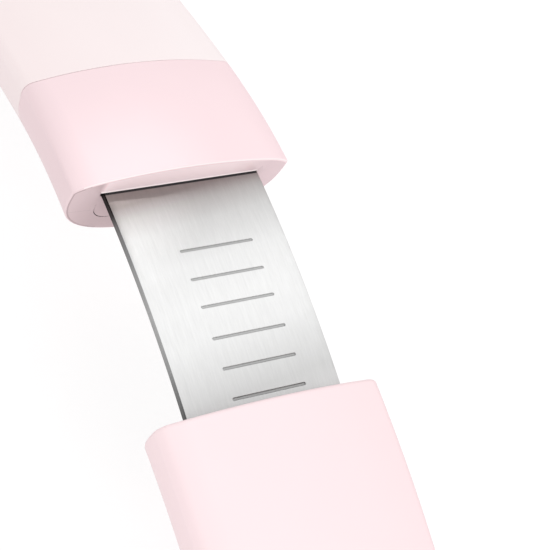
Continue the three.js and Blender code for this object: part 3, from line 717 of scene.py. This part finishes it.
def handle_half(name, replaced, outline, lip_h, lift, holes, port):
    """One shell. Holes are (x, s) loops through its face, and port is an (x, h) loop through its end."""
    skin = Skin()
    edges, ends, hole_rims, port_rims = [], [], [], []
    for depth in (0, WALL):
        profile = handle_profile(depth)
        flat_rows = [outline(cut_in_outline(lip_h, drawn, size_at(s))) for s, drawn in profile]
        rows = [[place(*flat_at(p, drawn, s)) for p in row] for row, (s, drawn) in zip(flat_rows, profile)]
        patch = patch_limits(flat_rows, profile, holes)
        for j in range(len(rows) - 1):
            if patch and patch["first"] <= j < patch["last"]:
                a, b = patch["left"], patch["right"]
                skin.strip(rows[j][: a + 1], rows[j + 1][: a + 1])
                skin.strip(rows[j][b:], rows[j + 1][b:])
            else:
                skin.strip(rows[j], rows[j + 1])
        if patch:
            across = lambda s: (HALF_WIDTH * size_at(s) - depth) / HALF_WIDTH
            scaled = [[(x / across(s), s) for x, s in hole] for hole in holes]
            to_point = lambda x, s: place(*flat_at((x, lift(x)), depth, s))
            skin.sheet(patch["edge"], to_point, holes=scaled)
            hole_rims.append([[to_point(*p) for p in hole] for hole in scaled])
        s_end, drawn_end = profile[-1]
        end_row = [inset(p, drawn_end, size_at(s_end)) for p in flat_rows[-1]]
        chord = split_long([end_row[-1], end_row[0]], EDGE_STEP, closed=False)[1:-1]
        end_point = lambda x, h: place(x, s_end, h)
        skin.sheet(end_row + chord, end_point, holes=[port] if port else [])
        port_rims.append([end_point(*p) for p in port])
        left, right = [row[0] for row in rows], [row[-1] for row in rows]
        edges.append([*right, *[end_point(*p) for p in chord], *left[::-1]])
        ends.append(rows[0])
    skin.strip(*edges)
    skin.strip(*ends)
    for outer_rim, inner_rim in zip(*hole_rims) if hole_rims else []:
        skin.strip(outer_rim, inner_rim, closed=True)
    if port:
        skin.strip(*port_rims, closed=True)
    made = skin.piece(name, "wand", replaced, "blush_plastic", FINISHES["blush_plastic"])
    soften(made, 0.12)
    even_shading(made)


def flat_at(point, drawn, s):
    x, h = inset(point, drawn, size_at(s))
    return x, s, h


def patch_limits(flat_rows, profile, holes):
    """The rectangle of rows and columns that the holes need, and its edge in (x, s)."""
    if not holes:
        return None
    margin_x, margin_s = 1.5, 2
    reach = max(abs(x) for hole in holes for x, _ in hole) + margin_x
    low = min(s for hole in holes for _, s in hole) - margin_s
    high = max(s for hole in holes for _, s in hole) + margin_s
    first = max(j for j, (s, _) in enumerate(profile) if s > high)
    last = min(j for j, (s, _) in enumerate(profile) if s < low)
    row = flat_rows[first]
    middle = len(row) // 2
    width = next(k for k in range(middle) if abs(row[middle + k][0]) > reach)
    left, right = middle - width, middle + width
    at = lambda i, j: (flat_rows[j][i][0], profile[j][0])
    edge = [at(i, first) for i in range(left, right)] + [at(right, j) for j in range(first, last)]
    edge += [at(i, last) for i in range(right, left, -1)] + [at(left, j) for j in range(last, first, -1)]
    return {"first": first, "last": last, "left": left, "right": right, "edge": edge}


def stadium(s, width, length):
    return rounded_loop(0, s, width, length, width / 2 - 1e-5, 12)


def handle():
    button_play, light_play, plate_play = 0.36, 0.2, 0.3
    holes = [stadium(BUTTON_S, BUTTON_WIDTH + button_play, BUTTON_LENGTH + button_play)]
    holes += [stadium(s, 2 * LIGHT_RADIUS + light_play, 2 * LIGHT_RADIUS + light_play) for s in LIGHTS]
    port = rounded_loop(0, PORT_H, PORT_WIDTH, PORT_HEIGHT, PORT_CORNER)
    handle_half("handle_front", "front_shell", front_outline, PARTING_H + SEAM, crown_h, holes, port)
    pocket = rounded_loop(0, PLATE_S, PLATE_WIDTH + plate_play, PLATE_LENGTH + plate_play,
                          PLATE_CORNER + plate_play / 2)
    handle_half("handle_back", "back_shell", back_outline, PARTING_H - SEAM, bowl_h, [pocket], [])


# ------------------------------------------------------------------ small pieces set into the handle
def dome(name, body, replaced, slot_name, loop_of, outward, rise, edge, lift, depth):
    """A button or plate: loop_of(inset) is its outline, and its top edge is rounded over the radius edge.

    It stands rise outside the skin that lift gives and reaches depth inside it. outward is 1 on the front
    and -1 on the back.
    """
    skin = Skin()

    def to_point(x, s, below):
        size = size_at(s)
        flat_x, flat_h = inset((x / size, lift(x / size)), 0, size)
        return place(flat_x, s, flat_h + outward * (rise - below))

    rounding = quarter(edge, 6)
    rows = [[to_point(*p, depth + rise) for p in loop_of(0)]]
    rows += [[to_point(*p, edge - along) for p in loop_of(drawn)] for along, drawn in rounding]
    skin.loft(rows)
    skin.sheet(loop_of(0), lambda x, s: to_point(x, s, depth + rise), spacing=1.0)
    skin.sheet(loop_of(rounding[-1][1]), lambda x, s: to_point(x, s, 0), spacing=1.0)
    made = skin.piece(name, body, replaced, slot_name, FINISHES[slot_name])
    even_shading(made)


def set_pieces():
    button = lambda drawn: stadium(BUTTON_S, BUTTON_WIDTH - 2 * drawn, BUTTON_LENGTH - 2 * drawn)
    dome("button", "button", "mode_button", "pink_plastic", button,
         outward=1, rise=BUTTON_PROUD, edge=0.5, lift=crown_h, depth=1.4)
    for i, s in enumerate(LIGHTS, 1):
        lens = lambda drawn: stadium(s, 2 * (LIGHT_RADIUS - drawn), 2 * (LIGHT_RADIUS - drawn) + 1e-4)
        dome(f"status_light_{i}", "wand", f"light_pipe_{i}", "light_lens", lens,
             outward=1, rise=0, edge=0.3, lift=crown_h, depth=1.4)
    plate = lambda drawn: rounded_loop(0, PLATE_S, PLATE_WIDTH - 2 * drawn, PLATE_LENGTH - 2 * drawn,
                                       PLATE_CORNER - drawn)
    dome("charge_contact", "wand", "contact_plate", "bright_plate", plate,
         outward=-1, rise=-0.25, edge=0.2, lift=bowl_h, depth=1.0)


# ------------------------------------------------------------------ collar, with the blade's slot
RIM_LINE_INSETS = 0.02, 0.2  # where painted shade runs as a fine line round the left of the end face
FACE_LINE = [(-19.7, -4.86), (-15.2, -5.2), (-15.2, -5.26), (-19.7, -4.92)]  # a fine darker line from the left rim to the slot
LOWER_PART = [(-18, 0.5), (-18, -14), (18, -14), (18, 0.5)]  # the part of the end face under the blade, painted darker as shade


def slot_loop(shrink, top, corner=SLOT_CORNER):
    """The slot's outline in the end face: square corners at the top, round ones at the bottom."""
    half, bottom = SLOT_BOTTOM_HALF - shrink, SLOT_BOTTOM + shrink
    points = [(SLOT_RIGHT - shrink, top), (SLOT_LEFT + shrink, top)]
    for side, start in ((-1, math.pi), (1, 1.5 * math.pi)):
        for i in range(9):
            t = start + math.pi / 2 * i / 8
            x = side * (half - corner) + corner * math.cos(t)
            points.append((x, bottom + corner * (1 + math.sin(t))))
    return split_long(points, EDGE_STEP)


def at_left(x, h):
    """Whether a point of the collar's rim is on its left side or under its lower left corner."""
    return x < -18.5 or x < -12 and h < -5


def collar():
    """A sleeve whose end face the slot goes through. A painted highlight lies along the rounded edge round
    that face in front.
    """
    plastic, upper, painted_shadow, fine_line, painted_highlight, lower = range(6)
    skin = Skin()
    across = lambda loop, s: [place(x, s, h) for x, h in loop]
    slot = slot_loop(0, SLOT_TOP)
    lip = [(x, h + SLOT_LIP) if h == SLOT_TOP else (x, h) for x, h in slot]
    brow = [place(x, SLOT_BROW if h == SLOT_TOP else 0, h) for x, h in slot]
    rim = [collar_ring(COLLAR_EDGE + more, 0) for more in RIM_LINE_INSETS]
    face_line = split_long(FACE_LINE, EDGE_STEP)
    lower_part = split_long(LOWER_PART, EDGE_STEP)

    def face_finish(x, h):
        # Painted shade: a fine line on the left rim, and the part under the blade painted darker.
        on_rim = h < 3 and at_left(x, h) and not inside((x, h), rim[1])
        if on_rim or inside((x, h), face_line):
            return fine_line
        return lower if inside((x, h), lower_part) else upper

    def edge_finish(row, x, h):
        """The finish of the last four rows of the rounded edge, of which row 3 meets the end face. Rows 0
        and 1 carry a painted highlight in front, and row 3 a painted shade line at the left.
        """
        if row < 2:
            return painted_highlight if x >= -19.6 and h >= 0.5 else plastic
        return fine_line if row == 3 and h < 2.5 and at_left(x, h) else plastic

    skin.sheet(collar_ring(COLLAR_EDGE, 0), lambda x, h: place(x, 0, h),
               lines=[*rim, face_line], holes=[lip], finish_at=face_finish)
    # Painted shadow: the inner face and the slot's walls are black plastic.
    skin.sheet(collar_ring(COLLAR_WALL, -COLLAR_FACE), lambda x, h: place(x, -COLLAR_FACE, h),
               holes=[slot], finish_at=lambda x, h: painted_shadow)
    # Painted highlight on the slot's top lip.
    skin.strip(across(lip, 0), brow, closed=True, finish=painted_highlight)
    skin.strip(brow, across(slot, -COLLAR_FACE), closed=True, finish=painted_shadow)

    rear = -COLLAR_LENGTH + SEAM
    turns = quarter(COLLAR_EDGE, 6)[1:]
    inner = [(s, COLLAR_WALL) for s in spread(-COLLAR_FACE, rear, ROW_STEP)]
    outer = [(s, 0.0) for s in spread(rear, -COLLAR_EDGE, ROW_STEP)]
    outer += [(-COLLAR_EDGE + along, drawn) for along, drawn in turns]
    ring = lambda s, drawn: across(collar_ring(drawn, s), s)
    # Painted shadow: the collar's inside is black plastic.
    skin.loft([ring(s, drawn) for s, drawn in inner], finish=painted_shadow)
    rings = [ring(s, drawn) for s, drawn in inner[-1:] + outer]
    skin.loft(rings[:-4])
    first = len(skin.faces)
    skin.loft(rings[-5:])
    outline = whole_ring(0, 1)
    for k in range(first, len(skin.faces)):
        row, i = divmod(k - first, len(outline))
        skin.finishes[k] = edge_finish(row, *outline[i])
    made = skin.piece("collar", "wand", "collar_sleeve", "pink_plastic",
                      FINISHES["pink_plastic"], UPPER_FACE, FINISHES["black_plastic"],
                      RIM_LINE, LIP_HIGHLIGHT, LOWER_FACE)
    soften(made, 0.05, 2)
    even_shading(made)


def gland():
    """Fills the slot under the blade. Its lower corners are rounder than the slot's and leave crescents."""
    skin = Skin()
    play, blade_play, rounder = 0.02, 0.12, 0.25
    loop = slot_loop(play, -BLADE_THICKNESS - blade_play, SLOT_CORNER + rounder)
    faces = (-play, -COLLAR_FACE)
    for s in faces:
        skin.sheet(loop, lambda x, h: place(x, s, h))
    skin.strip(*[[place(x, s, h) for x, h in loop] for s in faces], closed=True)
    # The insert takes the end face's painted shade.
    made = skin.piece("blade_insert", "wand", "blade_gland", "pink_plastic", LOWER_FACE)
    soften(made, 0.02)
    even_shading(made)


# ------------------------------------------------------------------ blade
def groove_depth(x, s):
    """How deep the nearest groove is at (x, s): a channel with round ends and soft lips."""
    lip, wall = 0.06, 0.16  # how far the lip reaches out, and how wide the sloping wall is
    deepest = 0.0
    for groove_s in GROOVES:
        beyond_end = max(abs(x - GROOVE_X) - (GROOVE_LENGTH - GROOVE_WIDTH) / 2, 0)
        away = math.hypot(beyond_end, s - groove_s)
        t = min(max((GROOVE_WIDTH / 2 + lip - away) / wall, 0), 1)
        deepest = max(deepest, GROOVE_DEPTH * t * t * (3 - 2 * t))
    return deepest


def blade_outline():
    half, tail_half, bevel = BLADE_HALF_WIDTH, BLADE_TAIL_HALF_WIDTH, BLADE_TIP - BEVEL_LENGTH
    right = [(half, bevel), (half, BLADE_ROOT), (half, BLADE_SHOULDER)]
    right += [(tail_half, BLADE_SHOULDER), (tail_half, BLADE_TAIL)]
    left = [(-x, s) for x, s in reversed(right)]
    return split_long([(half, BLADE_TIP), *right, *left, (-half, BLADE_TIP)], 1.5)


def blade():
    """The scraping blade: flat on top, with grooves, and bevelled from below at its tip."""
    steel, cut_edge_shade, groove, slot_shadow = range(4)
    edge = blade_outline()
    narrower = 1 - BLADE_BREAK / BLADE_HALF_WIDTH
    top_edge = [(x * narrower, min(s, BLADE_TIP - BLADE_BREAK)) for x, s in edge]
    lines = [split_long([(x * narrower, BLADE_ROOT) for x in (-BLADE_HALF_WIDTH, BLADE_HALF_WIDTH)], 1.5)]
    for s in GROOVES:
        for grow in (0.12, 0.04, -0.04, -0.12, -0.2):  # rings of points over the groove's lip and wall
            w = GROOVE_WIDTH + grow
            lines.append(rounded_loop(GROOVE_X, s, GROOVE_LENGTH + grow, w, w / 2 - 1e-5, 5, longest=0.8))

    def under(x, s):
        into = max(s - (BLADE_TIP - BEVEL_LENGTH), 0) / BEVEL_LENGTH
        return place(x, s, -BLADE_THICKNESS + (BLADE_THICKNESS - BEVEL_EDGE) * into)

    def finish_at(x, s):
        # Painted shadow: black plastic where the blade meets the slot.
        if s < BLADE_ROOT:
            return slot_shadow
        return groove if groove_depth(x, s) > 0.3 * GROOVE_DEPTH else steel

    skin = Skin()
    skin.sheet(top_edge, lambda x, s: place(x, s, -groove_depth(x, s)), lines=lines, finish_at=finish_at)
    skin.sheet(edge, under)
    top = [place(x, s, 0) for x, s in top_edge]
    side = [place(x, s, -BLADE_BREAK / 2) for x, s in edge]
    for p, corner in zip(edge, side):
        skin.point(corner, on_map(p))
    left = next(i for i, (x, _) in enumerate(edge) if x < 0)
    skin.strip(top[: left + 1], side[: left + 1])
    skin.strip(top[left:] + top[:1], side[left:] + side[:1], finish=cut_edge_shade)
    skin.strip(side, [under(x, s) for x, s in edge], closed=True, finish=cut_edge_shade)
    made = skin.piece("scrubbing_blade", "wand", "blade", "brushed_steel",
                      FINISHES["brushed_steel"], CUT_EDGE_SHADE, GROOVE_FLOOR, FINISHES["black_plastic"])
    soften(made, 0.03, 2)
    even_shading(made)


# ------------------------------------------------------------------ cap
def cap():
    """A cup with a softly rounded closed end."""
    skin = Skin()
    inner_edge, shoulder = 0.3, CAP_LENGTH - CAP_ROUND
    inner = [(shoulder + along, WALL + drawn) for along, drawn in quarter(CAP_ROUND - WALL, 10)[::-1]]
    inner += [(s, WALL) for s in spread(shoulder, SEAM + inner_edge, ROW_STEP)][1:]
    inner += [(SEAM + inner_edge - along, WALL - drawn) for along, drawn in quarter(inner_edge, 4)[1:]]
    outer = [(SEAM + CAP_EDGE - along, drawn) for along, drawn in quarter(CAP_EDGE, 6)[::-1]]
    outer += [(s, 0.0) for s in spread(SEAM + CAP_EDGE, shoulder, ROW_STEP)][1:]
    outer += [(shoulder + along, drawn) for along, drawn in quarter(CAP_ROUND, 12)[1:]]
    ring = lambda s, drawn: [cap_place(x, s, h) for x, h in whole_ring(drawn, cap_size(s))]
    skin.loft([ring(s, drawn) for s, drawn in inner + outer])
    for s, drawn in (inner[0], outer[-1]):
        skin.sheet(whole_ring(drawn, cap_size(s)), lambda x, h: cap_place(x, s, h))
    made = skin.piece("cap", "cap", "cap_shell", "pink_plastic", CAP_LIT_FINISH)
    even_shading(made)


handle()
set_pieces()
collar()
gland()
blade()
cap()


# ------------------------------------------------------------------ CAD pieces that keep their shape
def finish_cad_pieces():
    for part in RECORD["subparts"]:
        solid = frame["nodes"][part["node"]]
        if solid.hide_render:
            continue
        solid.data.materials.clear()
        solid.data.materials.append(FINISHES[part["material_slot"]])
        soften(solid, 0.1, 2)


finish_cad_pieces()


# ------------------------------------------------------------------ floor and light
def floor():
    half = 6.0
    mesh = bpy.data.meshes.new("floor")
    corners = [(-half, -half, 0), (half, -half, 0), (half, half, 0), (-half, half, 0)]
    mesh.from_pydata(corners, [], [(0, 1, 2, 3)])
    paper = moulded("floor_paper", (0.35, 0.35, 0.35), 0.95, grain=0.02)
    glow = paper.node_tree.nodes["Principled BSDF"]
    glow.inputs["Emission Color"].default_value = (1, 1, 1, 1)
    glow.inputs["Emission Strength"].default_value = 0.7
    glow.inputs["Specular IOR Level"].default_value = 0
    mesh.materials.append(paper)
    made = bpy.data.objects.new("floor", mesh)
    bpy.context.scene.collection.objects.link(made)


def hang(name, data, target, towards, distance):
    """Hangs a lamp in some direction from a target, and points it there."""
    lamp = bpy.data.objects.new(name, data)
    bpy.context.scene.collection.objects.link(lamp)
    lamp.location = target + Vector(towards).normalized() * distance
    lamp.rotation_euler = (target - lamp.location).to_track_quat("-Z", "Y").to_euler()


def softbox(name, towards, distance, size, radiance):
    """A rectangular light of the given radiance, facing the blade."""
    data = bpy.data.lights.new(name, "AREA")
    data.shape = "RECTANGLE"
    data.size, data.size_y = size
    data.energy = radiance * math.pi * size[0] * size[1]
    hang(name, data, ORIGIN, towards, distance)


def pool(name, target, towards, distance, radius, energy):
    """A spotlight that leaves one soft pool of light around a target."""
    data = bpy.data.lights.new(name, "SPOT")
    data.spot_size = 2 * math.atan(radius / distance)
    data.spot_blend = 1
    data.shadow_soft_size = 0.01
    data.energy = energy
    hang(name, data, target, towards, distance)


def sky(bright_side, low, high):
    """A soft studio: brightest from one side above, and dimmer all round it."""
    made = bpy.data.worlds.new("studio")
    made.use_nodes = True
    tree = made.node_tree
    tree.nodes["Background"].inputs["Color"].default_value = (1, 1, 1, 1)
    facing = node(tree, "ShaderNodeVectorMath", operation="DOT_PRODUCT")
    facing.inputs[1].default_value = Vector(bright_side).normalized()
    tree.links.new(node(tree, "ShaderNodeTexCoord").outputs["Generated"], facing.inputs[0])
    spread_out = node(tree, "ShaderNodeMapRange", interpolation_type="SMOOTHSTEP")
    for socket, value in (("From Min", -0.1), ("From Max", 0.95), ("To Min", low), ("To Max", high)):
        spread_out.inputs[socket].default_value = value
    tree.links.new(facing.outputs["Value"], spread_out.inputs["Value"])
    tree.links.new(spread_out.outputs["Result"], tree.nodes["Background"].inputs["Strength"])
    bpy.context.scene.world = made


floor()
sky(bright_side=(0.0, -0.3, 0.95), low=0.63, high=1.2)
softbox("overhead", towards=(0.53, 0.15, 0.83), distance=0.7, size=(0.5, 0.16), radiance=0.25)
pool("collar_glow", place(-15, -0.5, FRONT_H), towards=(0.55, 0.3, 0.75), distance=0.3,
     radius=0.0115, energy=0.85)
pool("corner_glow", place(-15, 0, FRONT_H), towards=(0.75, 0.25, 0.6), distance=0.3,
     radius=0.0065, energy=0.35)
bpy.context.scene.view_settings.view_transform = "Standard"
